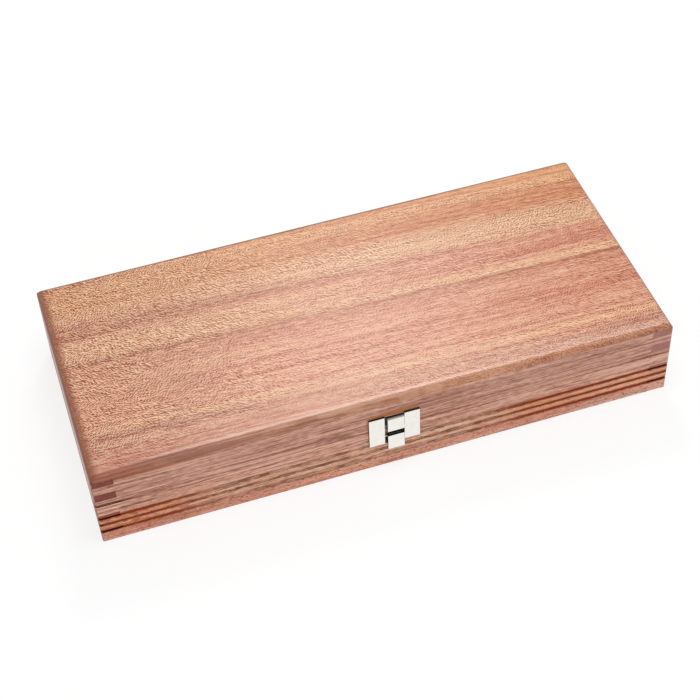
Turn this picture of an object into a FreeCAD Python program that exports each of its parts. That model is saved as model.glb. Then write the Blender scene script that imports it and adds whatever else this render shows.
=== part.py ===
import FreeCAD, Part
import math
import os

# Cutlery chest, in millimetres. +Z is up, the front faces -Y, and the origin is the middle of the underside.

# Case
case_length = 340.0
case_width = 154.6
base_height = 31.2
lid_frame_height = 19.4
wall = 12.5
lid_panel = 2.8
floor_panel = 4.0
floor_ledge = 6.0
corner_round = 1.5
foot_round = 1.0
split_round = 0.4
top_round = 4.2

# Finger joints: the stretches of a board's height where the end boards come through, from its lower edge
base_finger_shares = ((0.244, 0.378), (0.577, 0.731))
lid_finger_shares = ((0.201, 0.485), (0.794, 1.0))

# Grooves round the base, at shares of its height
groove_shares = (0.641, 0.471, 0.292)
groove_width = 2.0
middle_groove_width = 1.5
groove_depth = 1.4

# Linings and cutlery racks
lining = 1.2
lining_clearance = 0.3
rack_end_space = 63.5
rack_width = 18.0
rack_height = 17.0
rack_clearance = 0.3
notch_count = 6
notch_width = 11.0
notch_depth = 10.0
notch_round = 2.0

# Hinges
hinge_end_space = 50.0
hinge_length = 30.0
hinge_pin_inset = 2.6
hinge_pin_radius = 1.0
hinge_pin_clearance = 0.05
knuckle_radius = 2.2
knuckle_count = 5
knuckle_gap = 0.3
leaf_thickness = 1.0
leaf_gap = 0.3
leaf_edge = 0.8
bevel_angle = 50.5

# Hinge screws
screw_spacing = 18.0
screw_head_radius = 1.9
screw_shank_radius = 0.9
screw_head_height = 0.9
screw_length = 8.0
screw_slot_width = 0.5
screw_slot_depth = 0.4
screw_clearance = 0.05

# Catch plate on the base, a little to the right of the middle, with wings that stand up in front of the lid
catch_offset = 0.7
catch_width = 30.2
catch_height = 21.8
catch_gap = 0.3
catch_plate_thickness = 1.6
catch_channel = 11.3
catch_edge_round = 0.35
catch_web = 0.5
catch_relief = 1.3
wing_spur_shares = (-0.30, -0.75)
spur_radius = 0.8
spur_length = 6.0
spur_clearance = 0.05

# Strike on the lid: a raised block between the wings, with the lip that the lever hooks under
strike_block_width = 9.9
strike_block_height = 9.9
strike_block_proud = 3.1
strike_block_wall = 0.8
strike_cheek = 1.1
strike_crown = 6.2
strike_flange = 0.8
strike_spur_share = 0.5
lip_depth = 0.7
lip_height = 1.05

# Lever, which lies off the middle of its channel
lever_shift = 0.4
lever_clearance = 0.3
lever_tab_drop = 3.4
lever_tab_length = 11.4
lever_tab_thickness = 1.1
lever_arm_thickness = 0.6
lever_nose_height = 1.1
lever_barrel_wall = 0.4
lever_pin_drop = 5.0
lever_pin_radius = 0.4
lever_pin_clearance = 0.05
lever_pin_bearing = 2.6
lever_pin_share = 0.56

# Flat spring behind the lever
spring_thickness = 0.25
spring_width = 4.4
spring_foot = 3.2
spring_rise = 0.9
spring_tip_drop = 0.8
spring_gap = 0.02

# How far a cut runs past the face that it opens
overrun = 1.0

# Derived places
half_length = case_length / 2
half_width = case_width / 2
split = base_height
lid_frame_top = split + lid_frame_height
total_height = lid_frame_top + lid_panel
hinge_y = half_width - hinge_pin_inset
front_y = -half_width
inner_half_length = half_length - wall
inner_half_width = half_width - wall
lining_top = floor_panel + lining
rack_length = 2 * (inner_half_width - rack_clearance)


def block(x0, x1, y0, y1, z0, z1):
    corner = FreeCAD.Vector(x0, y0, z0)
    return Part.makeBox(x1 - x0, y1 - y0, z1 - z0, corner)


def rod_x(radius, x0, x1, y, z):
    return Part.makeCylinder(radius, x1 - x0, FreeCAD.Vector(x0, y, z), FreeCAD.Vector(1, 0, 0))


def rod_y(radius, y0, y1, x, z):
    return Part.makeCylinder(radius, y1 - y0, FreeCAD.Vector(x, y0, z), FreeCAD.Vector(0, 1, 0))


def prism_x(points, x0, x1):
    """A closed outline of (y, z) points, drawn out along X."""
    corners = [FreeCAD.Vector(x0, y, z) for y, z in points]
    face = Part.Face(Part.makePolygon(corners + corners[:1]))
    return face.extrude(FreeCAD.Vector(x1 - x0, 0, 0))


def rounded_face(half, low, high, low_round, high_round, place):
    """A rectangle with rounded corners; place turns its (u, v) into a point in space."""
    corners = (
        (half, low, 1, 1, low_round),
        (half, high, 1, -1, high_round),
        (-half, high, -1, -1, high_round),
        (-half, low, -1, 1, low_round),
    )
    arcs = []
    for u, v, side, lift, radius in corners:
        centre_u = u - side * radius
        centre_v = v + lift * radius
        reach = radius * math.sqrt(0.5)
        on_side = place(u, centre_v)
        middle = place(centre_u + side * reach, centre_v - lift * reach)
        on_end = place(centre_u, v)
        ends = (on_end, on_side) if side == lift else (on_side, on_end)
        arcs.append(Part.Arc(ends[0], middle, ends[1]).toShape())
    edges = []
    for arc, following in zip(arcs, arcs[1:] + arcs[:1]):
        edges.append(arc)
        edges.append(Part.makeLine(arc.lastVertex().Point, following.firstVertex().Point))
    return Part.Face(Part.Wire(Part.__sortEdges__(edges)))


def envelope(low, high, low_round, high_round):
    """The rounded outer shape of the base or the lid, between two heights."""
    plan = rounded_face(half_length, -half_width, half_width, corner_round, corner_round,
                        lambda u, v: FreeCAD.Vector(u, v, low))
    front = rounded_face(half_length, low, high, low_round, high_round,
                         lambda u, v: FreeCAD.Vector(u, -half_width, v))
    end = rounded_face(half_width, low, high, low_round, high_round,
                       lambda u, v: FreeCAD.Vector(-half_length, u, v))
    shape = plan.extrude(FreeCAD.Vector(0, 0, high - low))
    shape = shape.common(front.extrude(FreeCAD.Vector(0, case_width, 0)))
    return shape.common(end.extrude(FreeCAD.Vector(case_length, 0, 0)))


def save(name, shape):
    """Writes one sub-part, cleaned of leftover seams, and prints what it holds."""
    shape = shape.removeSplitter()
    assert shape.isValid() and shape.Solids, name
    shape.exportStep(os.path.join("parts", name + ".step"))
    print(name, len(shape.Solids), "solid(s)", round(shape.Volume, 2), "mm3")


def spans(shares, low, height):
    return [(low + first * height, low + last * height) for first, last in shares]


def between(taken, low, high):
    """The stretches of a height that the taken ones leave."""
    marks = [low] + [mark for span in taken for mark in span] + [high]
    return [(a, b) for a, b in zip(marks[::2], marks[1::2]) if b > a]


def long_board(side, low, height, fingers):
    """The front (side -1) or back (side 1) board, slotted at both ends for the end boards' fingers."""
    outer = side * half_width
    inner = side * inner_half_width
    y0, y1 = sorted((outer, inner))
    board = block(-half_length, half_length, y0, y1, low, low + height)
    for a, b in fingers:
        board = board.cut(block(-half_length, -inner_half_length, y0, y1, a, b))
        board = board.cut(block(inner_half_length, half_length, y0, y1, a, b))
    return board


def end_board(side, low, height, fingers):
    """The left (side -1) or right (side 1) board, left with its fingers at both ends."""
    x0, x1 = sorted((side * half_length, side * inner_half_length))
    board = block(x0, x1, -half_width, half_width, low, low + height)
    for a, b in between(fingers, low, low + height):
        board = board.cut(block(x0, x1, -half_width, -inner_half_width, a, b))
        board = board.cut(block(x0, x1, inner_half_width, half_width, a, b))
    return board


def groove_rings():
    rings = []
    widths = (groove_width, middle_groove_width, groove_width)
    for share, width in zip(groove_shares, widths):
        low = share * base_height - width / 2
        outer = block(-half_length - overrun, half_length + overrun,
                      -half_width - overrun, half_width + overrun, low, low + width)
        inner = block(-half_length + groove_depth, half_length - groove_depth,
                      -half_width + groove_depth, half_width - groove_depth, low, low + width)
        rings.append(outer.cut(inner))
    return rings


def back_bevel(lift):
    """The wedge cut from the back edge at the split, below it (lift -1) or above it (lift 1)."""
    reach = hinge_pin_inset + overrun
    drop = lift * reach * math.tan(math.radians(bevel_angle))
    points = [(hinge_y, split), (hinge_y + reach, split), (hinge_y + reach, split + drop)]
    return prism_x(points, -half_length - overrun, half_length + overrun)


def hinge_centres():
    centre = half_length - hinge_end_space - hinge_length / 2
    return [("left", -centre), ("right", centre)]


def leaf_reach():
    """How far a leaf runs in from the pin, short of the wall's inner face."""
    return wall - hinge_pin_inset - leaf_edge


def leaf_plate(centre, lift, gap):
    """The flat of one leaf; with no gap to the split, the mortise that it lies in."""
    half = hinge_length / 2
    z0, z1 = sorted((split + lift * gap, split + lift * (leaf_gap / 2 + leaf_thickness)))
    return block(centre - half, centre + half, hinge_y - leaf_reach(), hinge_y, z0, z1)


def hinge_rod(radius, centre, past):
    """A rod on the hinge's line, as long as the hinge and a little past it at both ends."""
    half = hinge_length / 2 + past
    return rod_x(radius, centre - half, centre + half, hinge_y, split)


def knuckles(centre, radius, own, gap):
    """Every second knuckle of a hinge; own is 0 for the base leaf and 1 for the lid leaf."""
    pitch = hinge_length / knuckle_count
    first = centre - hinge_length / 2
    return [rod_x(radius, first + n * pitch + gap, first + (n + 1) * pitch - gap, hinge_y, split)
            for n in range(own, knuckle_count, 2)]


def screw_places(centre):
    y = hinge_y - (knuckle_radius + leaf_reach()) / 2
    return [(centre - screw_spacing / 2, y), (centre + screw_spacing / 2, y)]


def screw(x, y, lift, clearance):
    """A countersunk screw whose head is flush with its leaf's open face, or the hole that it sits in."""
    face = split + lift * leaf_gap / 2
    along = FreeCAD.Vector(0, 0, lift)
    head = Part.makeCone(screw_head_radius + clearance, screw_shank_radius + clearance, screw_head_height,
                         FreeCAD.Vector(x, y, face), along)
    shank = Part.makeCylinder(screw_shank_radius + clearance, screw_length + clearance,
                              FreeCAD.Vector(x, y, face), along)
    return head.fuse(shank)


def slotted_screw(x, y, lift):
    face = split + lift * leaf_gap / 2
    z0, z1 = sorted((face, face + lift * screw_slot_depth))
    slot = block(x - screw_head_radius, x + screw_head_radius,
                 y - screw_slot_width / 2, y + screw_slot_width / 2, z0, z1)
    return screw(x, y, lift, 0).cut(slot)


def hinge_leaf(centre, own, lift):
    """One leaf with its knuckles, pin hole and countersunk screw holes."""
    leaf = leaf_plate(centre, lift, leaf_gap / 2)
    for knuckle in knuckles(centre, knuckle_radius, own, knuckle_gap / 2):
        leaf = leaf.fuse(knuckle)
    for space in knuckles(centre, knuckle_radius + knuckle_gap, 1 - own, 0):
        leaf = leaf.cut(space)
    leaf = leaf.cut(hinge_rod(hinge_pin_radius + hinge_pin_clearance, centre, overrun))
    for x, y in screw_places(centre):
        leaf = leaf.cut(screw(x, y, lift, screw_clearance))
    return leaf


def hinge_cuts(lift):
    """What the two hinges take out of the back board below (lift -1) or above (lift 1) the split."""
    cuts = [back_bevel(lift)]
    for _, centre in hinge_centres():
        cuts.append(leaf_plate(centre, lift, 0))
        cuts.append(hinge_rod(knuckle_radius + knuckle_gap, centre, knuckle_gap))
        cuts += [screw(x, y, lift, screw_clearance) for x, y in screw_places(centre)]
    return cuts


# Catch: s runs out of the front face and h up from the split

strike_inner = strike_block_proud - strike_block_wall
lip_inner = strike_inner - lip_depth
arm_outer = lip_inner - lever_clearance
arm_inner = arm_outer - lever_arm_thickness
nose_outer = strike_inner - lever_clearance
nose_low = lip_height + lever_clearance
nose_high = nose_low + lever_nose_height
pocket_high = strike_block_height - strike_crown
pocket_half = strike_block_width / 2 - strike_cheek
arm_half = pocket_half - lever_clearance
tab_half = strike_block_width / 2
wing = (catch_width - catch_channel) / 2
half_catch = catch_height / 2
lever_pin_s = lever_pin_share * catch_plate_thickness
lever_hole_radius = lever_pin_radius + lever_pin_clearance
lever_barrel_radius = lever_hole_radius + lever_barrel_wall
barrel_low = -lever_pin_drop - lever_barrel_radius
web_top = barrel_low - spring_rise


def front_block(x0, x1, s0, s1, h0, h1):
    """A box on the front face: x from the catch's middle, s out from the boards, h up from the split."""
    return block(catch_offset + x0, catch_offset + x1, front_y - s1, front_y - s0, split + h0, split + h1)


def lever_block(half, s0, s1, h0, h1):
    """A box centred on the lever and on the strike's block."""
    return front_block(lever_shift - half, lever_shift + half, s0, s1, h0, h1)


def lever_rod(radius, half, shift):
    """A rod along the lever's pin."""
    middle = catch_offset + shift
    return rod_x(radius, middle - half, middle + half, front_y - lever_pin_s, split - lever_pin_drop)


def softened(shape, s):
    """Rounds the edges that lie wholly in the plane at a distance s in front of the boards."""
    y = front_y - s
    near = catch_edge_round / 2
    edges = [e for e in shape.Edges if abs(e.BoundBox.YMin - y) < near and abs(e.BoundBox.YMax - y) < near]
    return shape.makeFillet(catch_edge_round, edges)


def wings():
    """The plate's two flat wings, which stand clear of the lid above the split."""
    pair = []
    for x0 in (-catch_width / 2, catch_width / 2 - wing):
        plate = front_block(x0, x0 + wing, 0, catch_plate_thickness, -half_catch, half_catch)
        plate = softened(plate, catch_plate_thickness)
        pair.append(plate.cut(front_block(x0, x0 + wing, 0, catch_gap, -catch_gap, half_catch)))
    return pair


def spur(x, h, clearance):
    """A point at the back of the catch that is driven into the board, or the hole for it."""
    deep = front_y + spur_length + clearance
    return rod_y(spur_radius + clearance, front_y, deep, catch_offset + x, split + h)


def plate_spurs(clearance):
    x = (catch_channel + wing) / 2
    return [spur(side * x, share * half_catch, clearance) for side in (-1, 1) for share in wing_spur_shares]


def strike_spurs(clearance):
    x = strike_spur_share * strike_block_width / 2
    h = strike_block_height - strike_crown / 2
    return [spur(lever_shift + side * x, h, clearance) for side in (-1, 1)]


def lever_relief(half, h0, h1):
    """The shallow recess in a board that the lever's barrel or arm swings back into."""
    return lever_block(half + lever_clearance, -catch_relief, overrun, h0, h1)


def make_catch_plate():
    web_half = catch_channel / 2 + catch_web
    plate = front_block(-web_half, web_half, 0, catch_web, -half_catch, web_top)
    for piece in wings() + plate_spurs(0):
        plate = plate.fuse(piece)
    return plate.cut(lever_rod(lever_hole_radius, catch_channel / 2 + lever_pin_bearing, 0))


def make_catch_strike():
    body = lever_block(strike_block_width / 2, 0, strike_block_proud, 0, strike_block_height)
    body = softened(body, strike_block_proud)
    half = catch_channel / 2 - lever_clearance
    body = body.fuse(front_block(-half, half, 0, strike_flange, pocket_high, strike_block_height))
    for piece in strike_spurs(0):
        body = body.fuse(piece)
    body = body.cut(lever_block(pocket_half, 0, lip_inner, 0, pocket_high))
    return body.cut(lever_block(pocket_half, lip_inner, strike_inner, lip_height, pocket_high))


def make_catch_lever():
    tab_inner = strike_block_proud - lever_tab_thickness
    tab_low = -lever_tab_drop - lever_tab_length
    tab = lever_block(tab_half, tab_inner, strike_block_proud, tab_low, -lever_tab_drop)
    lever = softened(tab, strike_block_proud)
    hub_high = -lever_pin_drop + lever_barrel_radius
    lever = lever.fuse(lever_rod(lever_barrel_radius, tab_half, lever_shift))
    lever = lever.fuse(lever_block(tab_half, lever_pin_s, tab_inner, barrel_low, hub_high))
    lever = lever.fuse(lever_block(arm_half, arm_inner, arm_outer, -lever_pin_drop, nose_high))
    lever = lever.fuse(lever_block(arm_half, arm_outer, nose_outer, nose_low, nose_high))
    lever = lever.cut(lever_rod(lever_hole_radius, tab_half + overrun, lever_shift))
    slot_half = spring_width / 2 + lever_clearance
    slot_outer = lever_pin_s - lever_pin_radius
    return lever.cut(lever_block(slot_half, -overrun, slot_outer, barrel_low - overrun, hub_high))


def make_catch_spring():
    """A flat strip: its foot lies on the plate's web, and its tip bears on the back of the lever's arm."""
    behind_pin = lever_pin_s - lever_barrel_radius
    line = [
        (catch_web, web_top - spring_foot),
        (catch_web, web_top),
        (behind_pin, barrel_low),
        (behind_pin, -lever_pin_drop),
        (arm_inner - spring_gap - spring_thickness, -spring_tip_drop),
    ]
    front = [(s + spring_thickness, h) for s, h in reversed(line)]
    middle = catch_offset + lever_shift
    points = [(front_y - s, split + h) for s, h in line + front]
    return prism_x(points, middle - spring_width / 2, middle + spring_width / 2)


def make_rack(side):
    centre = side * (inner_half_length - rack_end_space - rack_width / 2)
    low = lining_top
    high = low + rack_height
    x0 = centre - rack_width / 2
    x1 = centre + rack_width / 2
    rack = block(x0, x1, -rack_length / 2, rack_length / 2, low, high)
    pitch = rack_length / notch_count
    for n in range(notch_count):
        middle = (n + 1 / 2) * pitch - rack_length / 2
        notch = rounded_face(notch_width / 2, high - notch_depth, high + notch_depth,
                             notch_round, notch_round, lambda u, v: FreeCAD.Vector(x0, middle + u, v))
        rack = rack.cut(notch.extrude(FreeCAD.Vector(rack_width, 0, 0)))
    return rack


def make_boards(low, height, shares, outer, cuts):
    """The four finger-jointed boards of the base or the lid, trimmed to its rounded outer shape."""
    fingers = spans(shares, low, height)
    boards = {
        "front": long_board(-1, low, height, fingers),
        "back": long_board(1, low, height, fingers),
        "left": end_board(-1, low, height, fingers),
        "right": end_board(1, low, height, fingers),
    }
    for name, board in boards.items():
        board = board.common(outer)
        for cut in cuts:
            board = board.cut(cut)
        boards[name] = board
    return boards


def inside_sheet(low, thickness):
    """A lining that covers the inside of the case, wall to wall."""
    half_x = inner_half_length - lining_clearance
    half_y = inner_half_width - lining_clearance
    return block(-half_x, half_x, -half_y, half_y, low, low + thickness)


os.makedirs("parts", exist_ok=True)

floor_half_x = inner_half_length + floor_ledge
floor_half_y = inner_half_width + floor_ledge
floor_space = block(-floor_half_x, floor_half_x, -floor_half_y, floor_half_y, 0, floor_panel)

base_outer = envelope(0, base_height, foot_round, split_round)
base_cuts = groove_rings() + [floor_space] + hinge_cuts(-1) + plate_spurs(spur_clearance)
base_cuts.append(lever_relief(tab_half, web_top, 0))
for name, board in make_boards(0, base_height, base_finger_shares, base_outer, base_cuts).items():
    save("base_" + name, board)
save("base_floor", floor_space)
save("base_lining", inside_sheet(floor_panel, lining))
save("rack_left", make_rack(-1))
save("rack_right", make_rack(1))

lid_outer = envelope(split, total_height, split_round, top_round)
lid_cuts = hinge_cuts(1) + strike_spurs(spur_clearance)
lid_cuts.append(lever_relief(arm_half, 0, nose_high + lever_clearance))
for name, board in make_boards(split, lid_frame_height, lid_finger_shares, lid_outer, lid_cuts).items():
    save("lid_" + name, board)
save("lid_top", block(-half_length, half_length, -half_width, half_width,
                      lid_frame_top, total_height).common(lid_outer))
save("lid_lining", inside_sheet(lid_frame_top - lining, lining))

base_screws = []
lid_screws = []
for side, centre in hinge_centres():
    save("hinge_base_leaf_" + side, hinge_leaf(centre, 0, -1))
    save("hinge_lid_leaf_" + side, hinge_leaf(centre, 1, 1))
    save("hinge_pin_" + side, hinge_rod(hinge_pin_radius, centre, 0))
    base_screws += [slotted_screw(x, y, -1) for x, y in screw_places(centre)]
    lid_screws += [slotted_screw(x, y, 1) for x, y in screw_places(centre)]
save("hinge_base_screws", Part.makeCompound(base_screws))
save("hinge_lid_screws", Part.makeCompound(lid_screws))

save("catch_plate", make_catch_plate())
save("catch_strike", make_catch_strike())
save("catch_lever", make_catch_lever())
save("catch_pin", lever_rod(lever_pin_radius, catch_channel / 2 + lever_pin_bearing - lever_clearance, 0))
save("catch_spring", make_catch_spring())
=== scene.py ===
# %% [markdown]
# # A cutlery chest, from its frame to its finish
# The chest is a flat box of reddish hardwood with a hinged lid, a sprung nickel catch, and notched racks on
# felt inside. Its construction comes in as a fixed frame of named parts, in metres. This lesson gives each
# part its finish, remakes the few parts that want a finer mesh, and then sets the light and the camera.

# %% Load the frame
import math

import bmesh
import bpy
from mathutils import Matrix, Vector
from mathutils.noise import noise as perlin


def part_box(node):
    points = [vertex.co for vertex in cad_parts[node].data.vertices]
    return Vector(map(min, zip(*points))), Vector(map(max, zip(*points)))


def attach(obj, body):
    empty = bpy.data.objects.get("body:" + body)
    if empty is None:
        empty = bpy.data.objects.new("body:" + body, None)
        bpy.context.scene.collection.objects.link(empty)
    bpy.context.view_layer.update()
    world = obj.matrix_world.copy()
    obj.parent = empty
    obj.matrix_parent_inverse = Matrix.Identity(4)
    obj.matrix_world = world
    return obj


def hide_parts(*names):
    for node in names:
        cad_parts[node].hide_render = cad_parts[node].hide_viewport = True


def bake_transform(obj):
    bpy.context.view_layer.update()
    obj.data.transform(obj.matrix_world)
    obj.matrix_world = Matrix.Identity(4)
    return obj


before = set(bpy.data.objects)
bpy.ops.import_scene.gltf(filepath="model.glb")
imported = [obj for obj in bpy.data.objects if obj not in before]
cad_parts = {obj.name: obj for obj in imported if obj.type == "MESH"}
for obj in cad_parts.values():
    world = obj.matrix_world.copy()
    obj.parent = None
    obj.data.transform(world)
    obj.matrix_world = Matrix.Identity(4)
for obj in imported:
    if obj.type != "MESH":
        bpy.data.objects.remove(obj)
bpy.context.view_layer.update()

# %% [markdown]
# ## Sizes that the finishes follow
# A finish often depends on where it is: the grooves are darker inside, and the lid's panel shows a dark
# edge. So the sizes that matter are read from the frame once. The patterns are written in millimetres,
# because a pore or a ribbon of grain is easier to judge that way, and `MM` turns metres into them.

# %% Read the sizes
MM = 1000.0
base_front_low, base_front_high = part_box("base_front")
panel_low, panel_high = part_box("lid_top")
half_length = base_front_high.x
half_width = -base_front_low.y
split = base_front_high.z
groove_height_shares = (0.641, 0.471, 0.292)
groove_heights = [share * split for share in groove_height_shares]
groove_half_widths = (0.0010, 0.00080, 0.0010)
left_end, right_end = -half_length * MM, half_length * MM
front_face, back_face = -half_width * MM, half_width * MM
seam_height, panel_foot, panel_top = split * MM, panel_low.z * MM, panel_high.z * MM
print("case: %.1f x %.1f mm, split at %.1f mm" % (2 * right_end, 2 * back_face, seam_height))

# %% [markdown]
# ## Small helpers for node trees
# A material tree is easier to read when each step is one call. These helpers add a node, feed its inputs
# with either a value or another node's output, and hand back the output. The node goes into the tree that
# its inputs come from. A mask that comes in gradually is an `eased` value, with one number for where it
# starts and one for where it is full. Where these are places or depths, they are kept as a named pair of
# millimetres.

# %% Helpers: nodes and their inputs
mix_inputs, mixed_colour = (0, 6, 7), 2


def is_socket(value):
    return isinstance(value, bpy.types.NodeSocket)


def feed(socket, value):
    if is_socket(value):
        socket.id_data.links.new(value, socket)
    else:
        socket.default_value = value


def feed_named(node, **values):
    """Feeds inputs by name, with a low line for each space in a name."""
    for name, value in values.items():
        feed(node.inputs[name.replace("_", " ")], value)


def new_node(kind, values, **settings):
    """A new node, in the tree that the sockets among the values belong to."""
    tree = next(value.id_data for value in values if is_socket(value))
    made = tree.nodes.new(kind)
    for name, setting in settings.items():
        setattr(made, name, setting)
    return made


def fed_node(kind, *values, **settings):
    """A new node whose first inputs are fed with the values."""
    made = new_node(kind, values, **settings)
    for socket, value in zip(made.inputs, values):
        feed(socket, value)
    return made


def arithmetic(operation, *values):
    return fed_node("ShaderNodeMath", *values, operation=operation).outputs[0]


def vector_step(operation, *values):
    return fed_node("ShaderNodeVectorMath", *values, operation=operation).outputs[0]


def eased(value, start, full):
    """Goes smoothly from 0, where the value is at start, to 1, where it is at full."""
    falls = start > full
    made = fed_node("ShaderNodeMapRange", value, min(start, full), max(start, full), float(falls),
                    float(not falls), interpolation_type="SMOOTHSTEP")
    return made.outputs[0]


def blend(share, first, second, mode="MIX"):
    values = (share, first, second)
    made = new_node("ShaderNodeMix", values, data_type="RGBA", blend_type=mode)
    for number, value in zip(mix_inputs, values):
        feed(made.inputs[number], value)
    return made.outputs[mixed_colour]


def ramp(value, stops):
    made = fed_node("ShaderNodeValToRGB", value)
    elements = made.color_ramp.elements
    elements[0].position, elements[0].color = stops[0]
    elements[1].position, elements[1].color = stops[-1]
    for place, colour in stops[1:-1]:
        elements.new(place).color = colour
    return made.outputs[0]


print("node helpers ready")

# %% Helpers: sums and ranges
def chained(operation, values):
    """Several values joined by one operation, from left to right."""
    total = values[0]
    for value in values[1:]:
        total = arithmetic(operation, total, value)
    return total


def summed(*values):
    return chained("ADD", values)


def times(*values):
    return chained("MULTIPLY", values)


def larger(*values):
    return chained("MAXIMUM", values)


def less(value, taken):
    return arithmetic("SUBTRACT", value, taken)


def unsigned(value):
    return arithmetic("ABSOLUTE", value)


def between(share, first, second):
    """Goes from first to second as the share goes from 0 to 1."""
    return arithmetic("MULTIPLY_ADD", share, second - first, first)


def swing(value, reach):
    """How far a noise lies from its middle, stretched."""
    return times(less(value, 0.5), reach)


def layered(colour, layers):
    """A colour with tones laid over it in turn. A layer lists its masks and shares, and its tone last."""
    for *masks, over in layers:
        colour = blend(times(*masks), colour, over)
    return colour


print("sums and ranges ready")

# %% [markdown]
# ## Colour, place and noise
# Colours are written as the eye reads them, from 0 to 255, and turned into the linear values that shaders
# take. Every pattern reads Object coordinates: they stay with the part when it moves, and they run on
# across an edge, so a grain line turns the corner of a board as it does in solid wood. The noise helper
# takes the size of a lump in millimetres along each axis, which makes a long thin lump a line of grain.

# %% Helpers: colour, place and noise
seed_steps = (1.0, 1.7, 2.3)


def tone(red, green, blue):
    parts = [part / 255 for part in (red, green, blue)]
    linear = [p / 12.92 if p <= 0.04045 else ((p + 0.055) / 1.055) ** 2.4 for p in parts]
    return (*linear, 1.0)


def grey(level):
    return (level, level, level, 1.0)


def new_finish(name):
    finish = bpy.data.materials.new(name)
    finish.use_nodes = True
    tree = finish.node_tree
    return finish, tree, tree.nodes["Principled BSDF"]


def place_in_mm(tree):
    where = tree.nodes.new("ShaderNodeTexCoord")
    place = vector_step("MULTIPLY", where.outputs["Object"], (MM, MM, MM))
    return place, where.outputs["Normal"]


def split_parts(vector):
    return fed_node("ShaderNodeSeparateXYZ", vector).outputs


def joined(x, y, z):
    return fed_node("ShaderNodeCombineXYZ", x, y, z).outputs[0]


def noise(place, lump, detail=2.0, seed=0.0, rough=0.5):
    """Noise from 0 to 1 whose lumps measure about lump millimetres along the three axes."""
    per_mm = [1.0 / size for size in lump]
    scaled = vector_step("MULTIPLY_ADD", place, per_mm, [seed * step for step in seed_steps])
    made = fed_node("ShaderNodeTexNoise", scaled)
    feed_named(made, Scale=1.0, Detail=detail, Roughness=rough)
    return made.outputs["Fac"]


def turned(place, degrees):
    made = fed_node("ShaderNodeMapping", place)
    feed_named(made, Rotation=(0.0, 0.0, math.radians(degrees)))
    return made.outputs[0]


def relief(shader, height, depth_mm):
    """Raises the surface by a height from 0 to 1, for the fine texture of a finish."""
    made = new_node("ShaderNodeBump", [height])
    feed_named(made, Strength=1.0, Distance=depth_mm / MM, Height=height)
    feed_named(shader, Normal=made.outputs[0])


def dress(finish, *nodes):
    for node in nodes:
        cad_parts[node].material_slots[0].material = finish


print("colour, place and noise ready")

# %% [markdown]
# ## The lid's ribbon-figured panel: its ribbons
# The lid's face is quarter-cut wood with interlocked grain. The fibres lean one way in one ribbon and the
# other way in the next, so the ribbons take the light differently: cream and golden ones full of short
# flecks lie between pink and rust-brown ones. They run along the whole lid, about two degrees off square,
# and wander a little. One list gives the ribbons at the left end, from front to back, and another at the
# right end: each stop has its share of the way across the lid, its tone and how strong its flecks are. A
# colour ramp carries the tone, and its alpha carries the flecks.

# %% The ribbons across the lid
golden, cream, orange = tone(227, 160, 108), tone(237, 185, 144), tone(211, 138, 91)
pink, rosy, rose, rust = tone(221, 151, 122), tone(218, 143, 113), tone(204, 140, 116), tone(188, 110, 76)
left_ribbon_shares = [
    (0.0, rose, 0.3), (0.160, rose, 0.5), (0.173, cream, 0.6), (0.188, pink, 0.6), (0.29, pink, 0.6),
    (0.40, pink, 0.7), (0.475, pink, 0.6), (0.508, rust, 0.5), (0.535, cream, 0.9), (0.60, cream, 1.0),
    (0.635, pink, 0.7), (0.655, rust, 0.5), (0.70, rust, 0.6), (0.725, pink, 0.8), (0.75, cream, 0.8),
    (0.79, golden, 1.0), (0.90, golden, 1.0), (0.95, golden, 0.6), (1.0, orange, 0.3),
]
right_ribbon_shares = [
    (0.0, cream, 0.5), (0.045, pink, 0.7), (0.10, rose, 0.6), (0.135, pink, 0.6), (0.152, cream, 0.7),
    (0.168, pink, 0.6), (0.335, rosy, 0.5), (0.44, pink, 0.5), (0.490, rust, 0.4), (0.508, cream, 0.7),
    (0.520, cream, 0.7), (0.54, rosy, 0.6), (0.60, rosy, 0.6), (0.66, pink, 0.6), (0.69, cream, 0.9),
    (0.775, cream, 1.0), (0.81, orange, 0.5), (0.85, orange, 0.3), (0.90, orange, 0.4), (0.93, golden, 0.9),
    (0.957, golden, 0.7), (0.967, orange, 0.3), (0.978, orange, 0.3), (0.985, golden, 0.3),
]
ribbon_slope = 0.035
wander_lump, wander_reach = (170.0, 60.0, 60.0), 6.0
ragged_lump, ragged_reach = (60.0, 3.0, 3.0), 4.0
ribbons_change = (-125.0, 85.0)


def ribbon_lane(here):
    """The place as the grain sees it, with the ribbons laid straight along x."""
    x, y, z = split_parts(here)
    wander = noise(here, wander_lump, detail=1.0, seed=3.1)
    lean = arithmetic("MULTIPLY_ADD", x, ribbon_slope, y)
    across = summed(lean, swing(wander, wander_reach))
    return joined(x, across, z), x, across


def ribbon_tones(lane, x, across):
    """The ribbon's tone at a place, and how strong its flecks are."""
    ragged = swing(noise(lane, ragged_lump, detail=3.0, seed=8.4), ragged_reach)
    share = arithmetic("MULTIPLY_ADD", summed(across, ragged), 0.5 / back_face, 0.5)
    towards_right = eased(x, *ribbons_change)
    ends = []
    for ribbons in (left_ribbon_shares, right_ribbon_shares):
        ends.append(ramp(share, [(place, wood[:3] + (flecks,)) for place, wood, flecks in ribbons]))
    left, right = ends
    strengths = blend(towards_right, left.node.outputs["Alpha"], right.node.outputs["Alpha"])
    return blend(towards_right, left, right), strengths


print("ribbon stops:", len(left_ribbon_shares), "at the left and", len(right_ribbon_shares), "at the right")

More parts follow.
